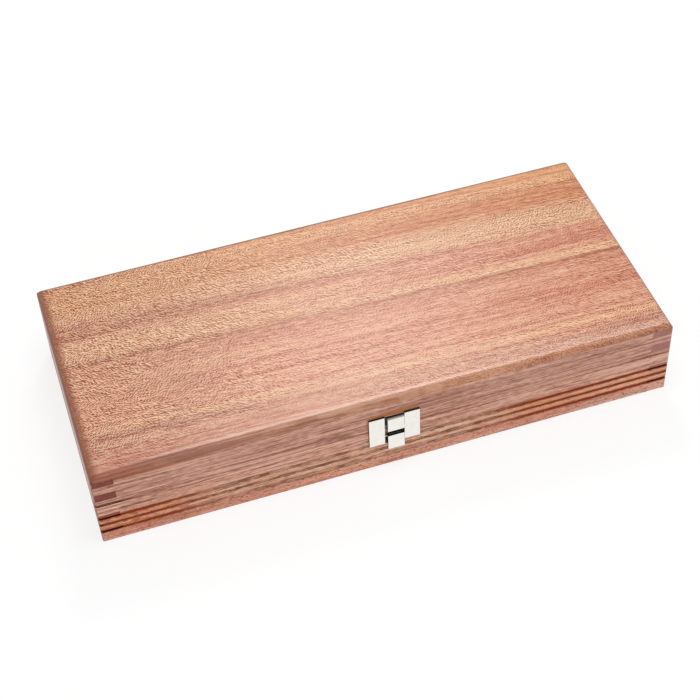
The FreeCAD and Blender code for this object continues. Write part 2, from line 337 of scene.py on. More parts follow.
# %% [markdown]
# ## The lid's ribbon-figured panel: flecks and rim
# Where the fibres come up through the face, the cut vessels show as short flecks, about a millimetre long,
# that slant one way or the other with the ribbon. Each is painted with a light side and a dark side, a
# painted highlight and painted shade as on a small relief lit from one side, so a fleck is a slanted noise
# less a share of the same noise half a millimetre on. Longer dashes and streaks follow the grain. Together
# they say how much darker or lighter than its ribbon a place is, in the grain's own tone and in the flecks'
# painted light and shade: darker wood is browner too, so a ramp holds the dark tints. The panel's rim shows
# its edge and end grain, so the finish turns brown over the round and towards both ends. A pale line along
# the front edge is partly sanded finish and partly a painted highlight.

# %% The flecks
fleck_lump, fleck_shaded_side_offset = (1.36, 0.62, 1.0), (0.0, 0.51, 0.0)
lean_lump = (50.0, 12.0, 12.0)


def slanted_flecks(lane, degrees, seed):
    """Short dashes at a slant, each with a painted highlight on one side and painted shade on the other."""
    along = turned(lane, degrees)
    beside = vector_step("ADD", along, fleck_shaded_side_offset)
    light = noise(along, fleck_lump, detail=1.0, seed=seed)
    dark = noise(beside, fleck_lump, detail=1.0, seed=seed)
    return summed(swing(light, 1.6), swing(dark, -0.9))


def fleck_field(lane):
    """Short slanted flecks, from 0 for dark to 1 for light."""
    rising = slanted_flecks(lane, 34.0, 1.3)
    falling = slanted_flecks(lane, -30.0, 5.9)
    lean = eased(noise(lane, lean_lump, detail=1.0, seed=2.2), 0.47, 0.53)
    return eased(blend(lean, rising, falling), -0.18, 0.18)


print("flecks: about %.1f x %.1f mm" % fleck_lump[:2])

# %% The rim of the lid's panel
rim_lump, rim_wander_left, rim_wander_right = (6.0, 5.0, 5.0), 0.9, 2.3
wander_grows, edge_narrows, edge_narrows_by = (40.0, 110.0), (20.0, 160.0), 1.8
edge_drop, edge_band = (0.70, 1.40), (4.9, 3.6)
sanding_highlight_inside, sanding_highlight_line, sanding_highlight_strip = (4.4, 5.2), (7.4, 5.2), (13.5, 7.0)
sanding_highlight_along, sanding_highlight_strip_along = (-172.0, -110.0), (55.0, 110.0)
soaked_left, soaked_right = (7.5, 2.5), (2.6, 1.0)


def panel_rim(here, normal):
    """Three masks: the panel's browner edge, the pale line inside it that is partly sanding and partly a
    painted highlight, and the soaked ends.
    """
    x, y, z = split_parts(here)
    ragged = noise(here, rim_lump, detail=3.0, seed=6.6)
    reach = between(eased(x, *wander_grows), rim_wander_left, rim_wander_right)
    wander = swing(ragged, reach)
    drop = less(panel_top, summed(z, wander))
    narrower = times(eased(x, *edge_narrows), edge_narrows_by)
    inward = summed(less(y, front_face), narrower, wander)
    edge = larger(eased(drop, *edge_drop), eased(inward, *edge_band))
    # The pale line along the front edge, partly sanded finish and partly a painted highlight, with a broader
    # strip of it towards the right.
    strip = times(eased(x, *sanding_highlight_strip_along), eased(inward, *sanding_highlight_strip), 0.45)
    rubbed = larger(eased(inward, *sanding_highlight_line), strip)
    sanding_and_highlight = times(rubbed, eased(inward, *sanding_highlight_inside), eased(x, *sanding_highlight_along))
    at_left = times(eased(less(x, left_end), *soaked_left), 0.75)
    at_right = times(eased(less(right_end, x), *soaked_right), 0.85)
    end = eased(unsigned(split_parts(normal)[0]), 0.45, 0.85)
    return edge, sanding_and_highlight, larger(at_left, at_right, end)


edge_patch_lump = (11.0, 5.0, 5.0)
edge_pales, edge_browns, edge_corner = (-130.0, -40.0), (20.0, 100.0), (-132.0, -152.0)
edge_back, edge_lines_fade = (30.0, 60.0), (-60.0, 30.0)


def edge_tones(here, x, streak):
    """The tone of the panel's edge: browner at the ends and the back, in patches and lines of grain."""
    y = split_parts(here)[1]
    patches = eased(noise(here, edge_patch_lump, seed=5.1), 0.50, 0.60)
    lines = eased(streak, 0.56, 0.40)
    front = blend(eased(x, *edge_pales), tone(140, 74, 42), tone(190, 136, 106))
    return layered(front, [
        (patches, 0.8, tone(160, 92, 52)),
        (eased(x, *edge_browns), 0.5, tone(164, 98, 60)),
        (eased(y, *edge_back), tone(128, 76, 50)),
        (eased(x, *edge_corner), tone(156, 74, 22)),
        (lines, between(eased(x, *edge_lines_fade), 0.7, 0.2), tone(116, 66, 48)),
    ])


print("rim: brown to %.1f mm in from the front" % edge_band[0])

# %% The finish of the lid's panel
band_lump, streak_lump, dash_lump = (280.0, 3.2, 3.2), (40.0, 0.9, 0.9), (4.5, 0.7, 0.7)
speck_lump, speck_across, speck_along = (1.6, 1.1, 1.1), (5.0, 3.0), (90.0, 50.0)
lively_along, calm_along, calm_across = (-40.0, -120.0), (20.0, -60.0), (30.0, 0.0)
brown_fades, end_changes, back_rim = (-10.0, 60.0), (-20.0, 20.0), (3.8, 3.1)
dark_tints = [(0.0, grey(1.0)), (0.5, tone(222, 180, 146)), (1.0, tone(164, 98, 66))]


def figured_wood():
    finish, tree, shader = new_finish("figured_lid_wood")
    here, normal = place_in_mm(tree)
    lane, x, across = ribbon_lane(here)
    colour, strengths = ribbon_tones(lane, x, across)
    bands = noise(lane, band_lump, detail=3.0, seed=6.8)
    streak = noise(lane, streak_lump, detail=3.0, seed=4.5)
    dashes = noise(lane, dash_lump, seed=7.1)
    flecks = fleck_field(lane)
    y = split_parts(here)[1]
    from_front, from_back = less(y, front_face), less(back_face, y)

    calm = times(eased(from_front, *calm_across), eased(x, *calm_along))
    lively = between(eased(x, *lively_along), 0.92, 1.72)
    fine = summed(swing(dashes, 2.2), times(swing(flecks, 2.1), strengths))
    streaked = times(swing(streak, 1.4), between(calm, 1.0, 1.7))
    fine = times(fine, lively, between(calm, 1.0, 0.4))
    shade = summed(swing(bands, 1.3), streaked, fine)
    # The dark tints carry the grain's own darker tones and the painted shade on the flecks' dark sides.
    colour = blend(1.0, colour, ramp(eased(shade, 0.0, -0.95), dark_tints), "MULTIPLY")

    edge, sanding_and_highlight, soaked = panel_rim(here, normal)
    specks = eased(noise(here, speck_lump, detail=1.0, seed=9.9), 0.60, 0.68)
    end_tone = blend(eased(x, *end_changes), tone(140, 70, 40), tone(176, 90, 56))
    colour = layered(colour, [
        # Lighter grain, and the painted highlights on the flecks' light sides, go towards cream.
        (eased(shade, 0.0, 0.95), 0.62, tone(255, 222, 182)),
        (specks, eased(from_back, *speck_across), eased(x, *speck_along), 0.8, tone(128, 72, 44)),
        (edge, between(eased(x, *brown_fades), 0.85, 0.55), edge_tones(here, x, streak)),
        # The pale line along the front edge: partly sanded finish, partly a painted highlight.
        (sanding_and_highlight, 0.40, tone(255, 226, 212)),
        (soaked, end_tone),
        (eased(from_back, *back_rim), 0.85, tone(136, 88, 64)),
    ])

    feed_named(shader, Base_Color=colour, Roughness=between(streak, 0.27, 0.41), Specular_IOR_Level=0.42)
    relief(shader, arithmetic("MULTIPLY_ADD", flecks, 0.5, dashes), 0.04)
    return finish


lid_wood = figured_wood()
print("lid finish:", len(lid_wood.node_tree.nodes), "nodes")

# %% [markdown]
# ## The boards: long grain, end grain and grooves
# The case's eight boards are the same wood, cut with straight grain. A finger joint shows both faces of a
# board: long grain along it and dark end grain where it comes through its neighbour. So the finish asks
# which way the surface faces. Where it faces along the grain, it shows pores instead of lines. Each board
# starts at another place in the plank, so no two look alike. The cutter that ran the grooves left them
# scorched and a little ragged, so the finish measures how deep a point lies behind the outer faces.

# %% The grain of a board, and its depth
wave_lump, wave_across, wave_up = (110.0, 30.0, 30.0), 7.0, 6.0


def straight_lane(here, along, cut_from):
    """The place with the grain along x, moved to where the board was cut from the plank."""
    if along == "Y":
        here = turned(here, 90.0)
    moved = vector_step("ADD", here, cut_from)
    x, y, z = split_parts(moved)
    wave = less(noise(moved, wave_lump, seed=7.7), 0.5)
    across = arithmetic("MULTIPLY_ADD", wave, wave_across, y)
    return joined(x, across, arithmetic("MULTIPLY_ADD", wave, wave_up, z))


def from_outside(here):
    """How deep a place lies behind the case's four outer faces."""
    x, y = split_parts(here)[:2]
    from_end = less(right_end, unsigned(x))
    from_side = less(back_face, unsigned(y))
    return arithmetic("MINIMUM", from_end, from_side)


print("grain helpers ready")

# %% The scorched grooves
groove_open, groove_floor = (0.05, 0.6), (2.4, 1.9)
chip_lump, least_chip, most_chip = (3.5, 3.5, 0.45), -0.05, 1.25
cut_fade, near_fade, lip_fade = (0.4, 0.0), (1.3, 0.1), (0.55, 0.30)


def groove_masks(here):
    """Four masks: inside a groove, scorched past its edges, near to it, and along its upper lip."""
    z = split_parts(here)[2]
    depth = from_outside(here)
    shallow = eased(depth, *groove_floor)
    inside = times(eased(depth, *groove_open), shallow)
    chips = noise(here, chip_lump, detail=3.0, seed=9.2)
    spread = between(eased(chips, 0.42, 0.66), least_chip, most_chip)
    cut, scorched, near, lip = 0.0, 0.0, 0.0, 0.0
    for height, half in zip(groove_heights, groove_half_widths):
        past = less(unsigned(less(z, height * MM)), half * MM)
        cut = larger(cut, times(eased(past, *cut_fade), inside))
        chipped = arithmetic("LESS_THAN", past, spread)
        scorched = larger(scorched, times(chipped, shallow))
        near = larger(near, eased(past, *near_fade))
        over = unsigned(less(z, (height + half) * MM))
        lip = larger(lip, eased(over, *lip_fade))
    return cut, scorched, times(near, shallow), times(lip, shallow)


dot_lump, stain_lump, faint_lump = (1.6, 1.6, 0.8), (5.0, 5.0, 0.9), (9.0, 9.0, 1.2)
flake_lump, broken_lump = (7.0, 7.0, 0.7), (12.0, 12.0, 1.5)
paler_right, stained_left, burn_changes = (80.0, 150.0), (-80.0, -140.0), (-60.0, 60.0)
torn_middle, torn_reach, end_burnt = -25.0, (65.0, 115.0), (2.4, 2.0)
low_band, ridge_fade = (0.0, 2.0), (1.5, 0.0)
stain_low, stain_high, flakes_high = (1.0, 0.0), (1.6, 0.6), (2.5, 0.0)


def groove_tones(here, along, colour):
    """The scorched grooves and warm ridges over the board's own colour, and where the wood is cut."""
    x, y, z = split_parts(here)
    cut, scorched, near, lip = groove_masks(here)
    grain, reach = (x, right_end) if along == "X" else (y, back_face)
    from_end = less(reach, unsigned(grain))
    above = less(z, groove_heights[0] * MM)
    below = less(groove_heights[-1] * MM, z)
    dots = eased(noise(here, dot_lump, seed=3.9), 0.46, 0.30)
    stains = eased(noise(here, stain_lump, detail=3.0, seed=7.4), 0.50, 0.58)
    patches = eased(noise(here, faint_lump, detail=3.0, seed=4.9), 0.40, 0.56)
    flakes = eased(noise(here, flake_lump, seed=2.9), 0.54, 0.62)
    broken = eased(noise(here, broken_lump, detail=3.0, seed=1.1), 0.46, 0.51)

    towards_right = eased(x, *paler_right)
    clean_cut = eased(unsigned(less(x, torn_middle)), *torn_reach)
    torn = less(1.0, clean_cut)
    lowest, over_low = eased(below, *low_band), eased(below, *ridge_fade)
    low_tone = blend(towards_right, tone(232, 146, 114), tone(252, 192, 170))
    ridge_tone = blend(towards_right, tone(246, 170, 122), tone(255, 188, 142))
    faint = blend(patches, tone(202, 148, 118), tone(250, 212, 182))
    end_burn = blend(eased(x, *burn_changes), tone(112, 38, 26), tone(140, 56, 36))
    burnt = layered(faint, [(clean_cut, tone(196, 104, 66)), (eased(from_end, *end_burnt), end_burn)])
    colour = layered(colour, [
        (lowest, 0.38, low_tone),
        (lowest, dots, tone(150, 78, 54)),
        (over_low, eased(above, *ridge_fade), between(clean_cut, 0.10, 0.50), ridge_tone),
        (eased(below, *stain_low), eased(above, *stain_high), stains, eased(x, *stained_left), 0.8,
         tone(176, 84, 48)),
        (near, clean_cut, 0.6, tone(212, 112, 62)),
        (scorched, 0.60, tone(124, 62, 38)),
        (cut, burnt),
        (flakes, over_low, eased(above, *flakes_high), torn, 0.65, tone(250, 216, 180)),
        (lip, broken, torn, 0.95, tone(100, 32, 16)),
    ])
    return colour, cut


print("grooves at", ", ".join("%.1f mm" % (height * MM) for height in groove_heights))

# %% The seam's painted shade, and the warmer wood above the catch
seam_half, seam_soft, seam_depth = 0.22, (0.15, -0.15), (0.9, 0.4)
corner_along, corner_across, corner_opens = (-142.0, -160.0), (-60.0, -76.0), 0.70
right_along, right_opens = (90.0, 150.0), 0.18


def seam_shade_tones(here, normal, colour):
    """The joint where the lid meets the base, painted dark as the shade in its gap, wider and near-black at
    the front left corner, and where that painted shade runs.
    """
    x, y, z = split_parts(here)
    corner = times(eased(x, *corner_along), eased(y, *corner_across))
    right = eased(x, *right_along)
    opened = summed(seam_half, times(corner, corner_opens), times(right, right_opens))
    past = less(unsigned(less(z, seam_height)), opened)
    level = unsigned(split_parts(normal)[2])
    seam = times(eased(past, *seam_soft), eased(from_outside(here), *seam_depth), eased(level, 0.9, 0.6))
    # Painted shade: the gap's dark line, a little darker to the right and near-black at the front left
    # corner.
    gap_shade_tone = blend(right, tone(132, 62, 44), tone(116, 44, 30))
    gap_shade_tone = blend(corner, gap_shade_tone, tone(70, 12, 8))
    return layered(colour, [(seam, 0.92, gap_shade_tone)]), seam


catch_low, catch_high = (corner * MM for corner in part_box("catch_plate"))
catch_middle = 0.5 * (catch_low.x + catch_high.x)
warm_ragged_lump, warm_ragged_reach = (5.0, 5.0, 2.0), 6.0
warm_beside, warm_low, warm_high, warm_front = (17.0, 12.0), (-0.5, 0.0), (5.0, 1.0), (0.0, front_face)
shade_under, shade_along = (3.2, 0.0), (-70.0, -150.0)


def shaded_top(here, colour):
    """The warmer, darker wood just above the catch, and under the lid's panel at the left end."""
    x, y, z = split_parts(here)
    beside = unsigned(less(x, catch_middle))
    over = less(z, catch_high.z)
    warm_ragged_top = summed(over, swing(noise(here, warm_ragged_lump, seed=8.1), warm_ragged_reach))
    return layered(colour, [
        (eased(beside, *warm_beside), eased(over, *warm_low), eased(warm_ragged_top, *warm_high),
         eased(y, *warm_front), 0.75, tone(196, 122, 60)),
        (eased(less(panel_foot, z), *shade_under), eased(x, *shade_along), 0.85, tone(158, 80, 32)),
    ])


print("seam: %.2f mm to each side" % seam_half)

# %% The finish of a board
plank_band, plank_streak, plank_line = (150.0, 6.0, 6.0), (60.0, 1.4, 1.4), (65.0, 1.0, 1.0)
plank_pore, end_pore = (4.0, 0.7, 0.7), (300.0, 0.8, 0.8)
tone_shares = (0.0, 0.3, 0.7, 1.0)


def board_wood(name, along, cut_from, tones, end_tones, cased=False, grooved=False):
    finish, tree, shader = new_finish(name)
    here, normal = place_in_mm(tree)
    lane = straight_lane(here, along, cut_from)
    band = noise(lane, plank_band, seed=1.9)
    streak = noise(lane, plank_streak, seed=3.7)
    lines = noise(lane, plank_line, detail=1.0, seed=6.3)
    pores = noise(lane, plank_pore, detail=1.0, seed=5.3)
    shade = summed(0.55, swing(band, 0.5), swing(streak, 1.3), swing(pores, 1.1))
    colour = layered(ramp(shade, list(zip(tone_shares, tones))), [
        (eased(lines, 0.43, 0.30), 0.75, tones[0]),
        (eased(lines, 0.58, 0.70), 0.55, tones[-1]),
    ])
    if cased:
        colour = shaded_top(here, colour)

    facing = split_parts(normal)[0 if along == "X" else 1]
    end = eased(unsigned(facing), 0.55, 0.90)
    speck = noise(lane, end_pore, detail=4.0, seed=2.8)
    colour = blend(end, colour, blend(eased(speck, 0.35, 0.62), *end_tones))
    roughness = between(streak, 0.26, 0.40)
    if grooved:
        colour, cut = groove_tones(here, along, colour)
        roughness = larger(roughness, cut)
    if cased:
        colour, seam = seam_shade_tones(here, normal, colour)
        roughness = larger(roughness, seam)

    feed_named(shader, Base_Color=colour, Roughness=roughness, Specular_IOR_Level=0.2)
    relief(shader, arithmetic("MULTIPLY_ADD", pores, 0.8, streak), 0.05)
    return finish


print("board finish ready")

# %% Cut the eight boards
lid_tones = (tone(132, 72, 50), tone(172, 115, 99), tone(216, 161, 139), tone(243, 194, 170))
base_tones = (tone(136, 74, 48), tone(191, 133, 111), tone(237, 182, 157), tone(252, 211, 186))
end_left = (tone(115, 54, 44), tone(145, 77, 62))
end_right = (tone(162, 104, 96), tone(189, 131, 120))
boards = {
    "base_front": ("X", (20.0, 0.0, 60.0), end_left),
    "base_back": ("X", (610.0, 90.0, 15.0), end_left),
    "base_left": ("Y", (240.0, 35.0, 120.0), end_left),
    "base_right": ("Y", (415.0, 70.0, 210.0), end_right),
    "lid_front": ("X", (130.0, 150.0, 300.0), end_left),
    "lid_back": ("X", (820.0, 180.0, 260.0), end_left),
    "lid_left": ("Y", (350.0, 260.0, 90.0), end_left),
    "lid_right": ("Y", (505.0, 310.0, 40.0), end_right),
}
for board, (along, cut_from, end_tones) in boards.items():
    on_base = board.startswith("base")
    tones = base_tones if on_base else lid_tones
    wood = board_wood(board + "_wood", along, cut_from, tones, end_tones, cased=True, grooved=on_base)
    dress(wood, board)
print("boards dressed:", len(boards))

# %% [markdown]
# ## The lid's panel, with a sanded edge
# The panel is a thin board glued on the lid's frame. Its edge was rounded over with the frame and then
# sanded, so the corners are softer than the frame's drawing. It is remade here as a stack of rounded
# rectangles: each ring lies a little further in and higher, along the arc of the round, and neighbouring
# rings are bridged with faces. Two helpers come first: one makes a mesh of a shape, and one links a piece.

# %% Helpers: from a shape to a piece
def mesh_of(shape, name):
    mesh = bpy.data.meshes.new(name)
    shape.to_mesh(mesh)
    shape.free()
    return mesh


def linked(name, data):
    piece = bpy.data.objects.new(name, data)
    bpy.context.scene.collection.objects.link(piece)
    return piece


print("piece helpers ready")

# %% Build the lid's panel
top_round = 0.0042
corner_round = 0.0015
corner_softening_share = 0.35
arc_steps, corner_steps = 14, 8


def rounded_ring(half_x, half_y, radius, z):
    """The points of a rounded rectangle, anticlockwise, as many for any size."""
    points = []
    for corner, (sx, sy) in enumerate(((1, 1), (-1, 1), (-1, -1), (1, -1))):
        for step in range(corner_steps + 1):
            angle = math.radians(90.0 * (corner + step / corner_steps))
            points.append((sx * (half_x - radius) + radius * math.cos(angle),
                           sy * (half_y - radius) + radius * math.sin(angle), z))
    return points


def stacked_rings(rings):
    """A closed shell through a stack of rings, lowest first."""
    shell = bmesh.new()
    rows = [[shell.verts.new(point) for point in ring] for ring in rings]
    count = len(rows[0])
    for lower, upper in zip(rows, rows[1:]):
        for i in range(count):
            j = (i + 1) % count
            shell.faces.new((lower[i], lower[j], upper[j], upper[i])).smooth = True
    shell.faces.new(list(reversed(rows[0])))
    shell.faces.new(rows[-1])
    return shell


round_centre = panel_high.z - top_round
start_angle = math.asin((panel_low.z - round_centre) / top_round)
panel_rings = []
for step in range(arc_steps + 1):
    angle = start_angle + (math.pi / 2 - start_angle) * step / arc_steps
    inset = top_round * (1 - math.cos(angle))
    panel_rings.append(rounded_ring(half_length - inset, half_width - inset,
                                    corner_round + corner_softening_share * inset,
                                    round_centre + top_round * math.sin(angle)))
lid_panel = linked("lid_panel", mesh_of(stacked_rings(panel_rings), "lid_panel"))
lid_panel.data.materials.append(lid_wood)
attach(lid_panel, "lid")
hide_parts("lid_top")
print("lid panel:", len(lid_panel.data.polygons), "faces")

# %% [markdown]
# ## Bright metal: catch, hinges, screws and spring
# The catch is pressed sheet with a bright nickel plate. Bright metal has almost no colour of its own: it
# shows the white room, the floor and the wood beside it. What makes it look real is the slight unevenness
# of pressed sheet, so the roughness varies in cloudy patches and fine rub marks, and a shallow relief bends
# the reflections. The catch's top and side faces are darker and dull, and its inside, with the lever's arm
# above its tab, is painted near-black as shade.

# %% The finish of plated metal
rub_lumps = {"X": (14.0, 0.25, 0.25), "Z": (0.25, 0.25, 14.0)}
cloud_lump = (3.0, 3.0, 3.0)
catch_inside_shade, catch_top_shade = (1.3, 1.0), (0.9, 2.9)
tab_top, lever_arm_shade = seam_height - 3.4, (0.30, 0.10)


def plated_metal(name, colour, worn, roughness, rub_along, dents_mm, darker_faces=None):
    finish, tree, shader = new_finish(name)
    here, normal = place_in_mm(tree)
    rubs = noise(here, rub_lumps[rub_along], seed=2.4)
    clouds = noise(here, cloud_lump, detail=3.0, seed=6.1)
    plate = blend(eased(clouds, 0.40, 0.72), colour, worn)
    metallic = 1.0
    if darker_faces:
        plate, dull = darker_faces(here, normal, plate)
        metallic = less(1.0, dull)
    cloudy = arithmetic("MULTIPLY_ADD", clouds, 0.10, roughness)
    rubbed = arithmetic("MULTIPLY_ADD", rubs, 0.06, cloudy)
    feed_named(shader, Base_Color=plate, Metallic=metallic, Roughness=rubbed)
    relief(shader, clouds, dents_mm)
    return finish


def catch_edges(here, normal, plate):
    """The catch's darker, dull top and side faces and its inside painted near-black as shade, over the
    plate's tone, and how dull a place is.
    """
    facing = split_parts(normal)
    out = less(front_face, split_parts(here)[1])
    on_top = eased(facing[2], 0.55, 0.80)
    on_side = eased(unsigned(facing[0]), 0.60, 0.85)
    # Painted shade: the inside of the catch, behind its front faces, is near-black.
    inside = eased(out, *catch_inside_shade)
    top_tone = blend(eased(out, *catch_top_shade), tone(40, 36, 33), tone(196, 194, 190))
    plate = layered(plate, [(on_top, top_tone), (on_side, tone(42, 36, 32)), (inside, tone(22, 18, 16))])
    return plate, larger(on_top, on_side, inside)


def lever_edges(here, normal, plate):
    """As the catch's faces, with the lever's barrel and arm above its tab painted near-black as shade."""
    plate, dull = catch_edges(here, normal, plate)
    # Painted shade: the lever's barrel and arm above its tab are near-black, so the gap over the tab reads
    # dark.
    above = eased(less(tab_top, split_parts(here)[2]), *lever_arm_shade)
    return blend(above, plate, tone(18, 14, 12)), larger(dull, above)


bright, bright_worn = tone(244, 241, 236), tone(240, 237, 231)
catch_nickel = plated_metal("catch_bright_nickel", bright, bright_worn, 0.08, "Z", 0.002, catch_edges)
lever_nickel = plated_metal("lever_bright_nickel", bright, bright_worn, 0.08, "Z", 0.002, lever_edges)
hinge_nickel = plated_metal("hinge_nickel", tone(226, 223, 217), tone(205, 200, 190), 0.30, "X", 0.0004)
screw_nickel = plated_metal("screw_nickel", tone(224, 221, 215), tone(196, 190, 180), 0.30, "X", 0.0004)
spring_steel = plated_metal("spring_blue_steel", tone(150, 152, 158), tone(112, 112, 120), 0.26, "Z", 0.0004)
dress(catch_nickel, "catch_plate", "catch_strike", "catch_pin")
dress(lever_nickel, "catch_lever")
for side in ("left", "right"):
    dress(hinge_nickel, "hinge_base_leaf_" + side, "hinge_lid_leaf_" + side, "hinge_pin_" + side)
print("metal finishes: 5")

# %% [markdown]
# ## The catch's spring, which bends
# A strip of spring steel behind the lever holds its nose under the strike. The strip's foot is fixed to the
# plate, and its tip bears on the back of the lever's arm. When the tab is pulled, the tip goes back with
# the arm and the foot stays. Here the strip is copied and sliced across into short lengths.

# %% Slice the spring
merge_distance = 1e-6
slice_height, tip_margin = 0.0002, 0.0010
spring_low, spring_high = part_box("catch_spring")
pin_low, pin_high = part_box("catch_pin")
bend_start = 0.5 * (pin_low.z + pin_high.z)
strip = bmesh.new()
strip.from_mesh(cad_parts["catch_spring"].data)
bmesh.ops.remove_doubles(strip, verts=strip.verts, dist=merge_distance)
for count in range(1, int((spring_high.z - bend_start) / slice_height)):
    everything = strip.verts[:] + strip.edges[:] + strip.faces[:]
    height = bend_start + count * slice_height
    bmesh.ops.bisect_plane(strip, geom=everything, plane_co=(0.0, 0.0, height), plane_no=(0.0, 0.0, 1.0))
spring_mesh = mesh_of(strip, "bending_spring")
spring_mesh.materials.clear()
spring_mesh.materials.append(spring_steel)
spring = linked("bending_spring", spring_mesh)
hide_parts("catch_spring")
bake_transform(spring)
print("spring:", len(spring_mesh.polygons), "faces")

# %% [markdown]
# ## The hinge screws, from one tree
# Eight countersunk screws with a plain slot hold the hinge leaves, four in the base and four in the lid.
# What repeats is a job for Geometry Nodes. The tree turns one screw from a profile of four rings, cuts its
# slot, and puts a copy at each hole. Each copy is turned by a seeded random angle, because nobody lines up
# slots by hand. The sizes are named inputs, so the same tree makes the screws that point down into the base
# and those that point up into the lid.

# %% The tree that makes the screws
ring_count, screw_sides = 4, 28
tip_share, tip_radius_share, slot_reach_share = 0.2, 0.25, 2.4
random_least, random_most, random_value = 2, 3, 1


def tree_step(tree, kind, settings=None, **inputs):
    made = tree.nodes.new(kind)
    for name, value in (settings or {}).items():
        setattr(made, name, value)
    feed_named(made, **inputs)
    return made.outputs[0]


def ring_values(tree, *values):
    """The value for each of the profile's rings, by the ring's number."""
    made = tree_step(tree, "GeometryNodeIndexSwitch", {"data_type": "FLOAT"}).node
    while len(made.index_switch_items) < len(values):
        made.index_switch_items.new()
    feed(made.inputs["Index"], tree_step(tree, "GeometryNodeInputIndex"))
    for socket, value in zip(made.inputs[1:], values):
        feed(socket, value)
    return made.outputs[0]


def turned_screw(tree, size):
    """One screw with its head's face at height 0, pointing down."""
    neck, tip = times(size["Head Height"], -1.0), times(size["Length"], -1.0)
    taper = times(tip, 1.0 - tip_share)
    point = times(size["Shank Radius"], tip_radius_share)
    rings = tree_step(tree, "GeometryNodeMeshLine", Count=ring_count)
    height = ring_values(tree, 0.0, neck, taper, tip)
    placed = tree_step(tree, "GeometryNodeSetPosition", Geometry=rings, Position=joined(0.0, 0.0, height))
    spine = tree_step(tree, "GeometryNodeMeshToCurve", Mesh=placed)
    radius = ring_values(tree, size["Head Radius"], size["Shank Radius"], size["Shank Radius"], point)
    section = tree_step(tree, "GeometryNodeCurvePrimitiveCircle", Resolution=screw_sides, Radius=1.0)
    body = tree_step(tree, "GeometryNodeCurveToMesh", Curve=spine, Profile_Curve=section, Scale=radius,
                     Fill_Caps=True)
    slot_size = joined(times(size["Head Radius"], slot_reach_share), size["Slot Width"],
                       times(size["Slot Depth"], 2.0))
    slot = tree_step(tree, "GeometryNodeMeshCube", Size=slot_size)
    cut = tree_step(tree, "GeometryNodeMeshBoolean", {"operation": "DIFFERENCE"}, Mesh_1=body)
    feed(cut.node.inputs["Mesh 2"], slot)
    return cut


def two_points(tree, reach, y, z):
    """A point to each side of the middle, at the reach."""
    left, right = (joined(times(reach, side), y, z) for side in (-1.0, 1.0))
    return tree_step(tree, "GeometryNodeMeshLine", {"mode": "END_POINTS"}, Count=2, Start_Location=left,
                     Offset=right)


def screw_tree(finish, sizes):
    tree = bpy.data.node_groups.new("slotted_screws", "GeometryNodeTree")
    for name, value in sizes.items():
        kind = "NodeSocketInt" if name == "Seed" else "NodeSocketFloat"
        tree.interface.new_socket(name, in_out="INPUT", socket_type=kind).default_value = value
    tree.interface.new_socket("Screws", in_out="OUTPUT", socket_type="NodeSocketGeometry")
    size = tree.nodes.new("NodeGroupInput").outputs
    hinges = two_points(tree, size["Hinge Reach"], size["Row"], size["Seat"])
    pair = two_points(tree, times(size["Spacing"], 0.5), 0.0, 0.0)
    pairs = tree_step(tree, "GeometryNodeInstanceOnPoints", Points=hinges, Instance=pair)
    holes = tree_step(tree, "GeometryNodeRealizeInstances", Geometry=pairs)
    spin = tree_step(tree, "FunctionNodeRandomValue", {"data_type": "FLOAT"}, Seed=size["Seed"]).node
    spin.inputs[random_least].default_value = -math.pi / 2
    spin.inputs[random_most].default_value = math.pi / 2
    turn = joined(size["Turn"], 0.0, spin.outputs[random_value])
    facing = tree_step(tree, "FunctionNodeEulerToRotation", Euler=turn)
    screws = tree_step(tree, "GeometryNodeInstanceOnPoints", Points=holes, Rotation=facing,
                       Instance=turned_screw(tree, size))
    solid = tree_step(tree, "GeometryNodeRealizeInstances", Geometry=screws)
    plated = tree_step(tree, "GeometryNodeSetMaterial", Geometry=solid, Material=finish)
    feed(tree.nodes.new("NodeGroupOutput").inputs[0], plated)
    return tree


print("screw helpers ready")

# %% Lay out the screws and set the tree's inputs
def plain_mesh(piece, name):
    """The evaluated piece as a plain mesh, with no modifier left on it."""
    evaluated = piece.evaluated_get(bpy.context.evaluated_depsgraph_get())
    mesh = bpy.data.meshes.new_from_object(evaluated)
    mesh.name = name
    piece.modifiers.clear()
    piece.data = mesh
    return mesh


base_screws_low, base_screws_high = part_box("hinge_base_screws")
lid_screws_low, lid_screws_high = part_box("hinge_lid_screws")
leaf_low, leaf_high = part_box("hinge_base_leaf_right")
screw_sizes = {
    "Hinge Reach": 0.5 * (leaf_low.x + leaf_high.x),
    "Spacing": 0.018,
    "Row": 0.5 * (base_screws_low.y + base_screws_high.y),
    "Seat": base_screws_high.z,
    "Head Radius": 0.0019,
    "Head Height": 0.0009,
    "Shank Radius": 0.0009,
    "Length": base_screws_high.z - base_screws_low.z,
    "Slot Width": 0.0005,
    "Slot Depth": 0.0004,
    "Turn": 0.0,
    "Seed": 4,
}
lid_row = 0.5 * (lid_screws_low.y + lid_screws_high.y)
own_values = {"base": {}, "lid": {"Row": lid_row, "Seat": lid_screws_low.z, "Turn": math.pi, "Seed": 11}}
slotted = screw_tree(screw_nickel, screw_sizes)
for body, values in own_values.items():
    name = body + "_hinge_screws"
    screws = linked(name, bpy.data.meshes.new(name + "_start"))
    layout = screws.modifiers.new("slotted_screws", "NODES")
    layout.node_group = slotted
    for socket in slotted.interface.items_tree:
        if socket.in_out == "INPUT":
            layout[socket.identifier] = values.get(socket.name, screw_sizes[socket.name])
    mesh = plain_mesh(screws, name)
    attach(screws, body)
    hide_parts("hinge_%s_screws" % body)
    print(name + ":", len(mesh.polygons), "faces")

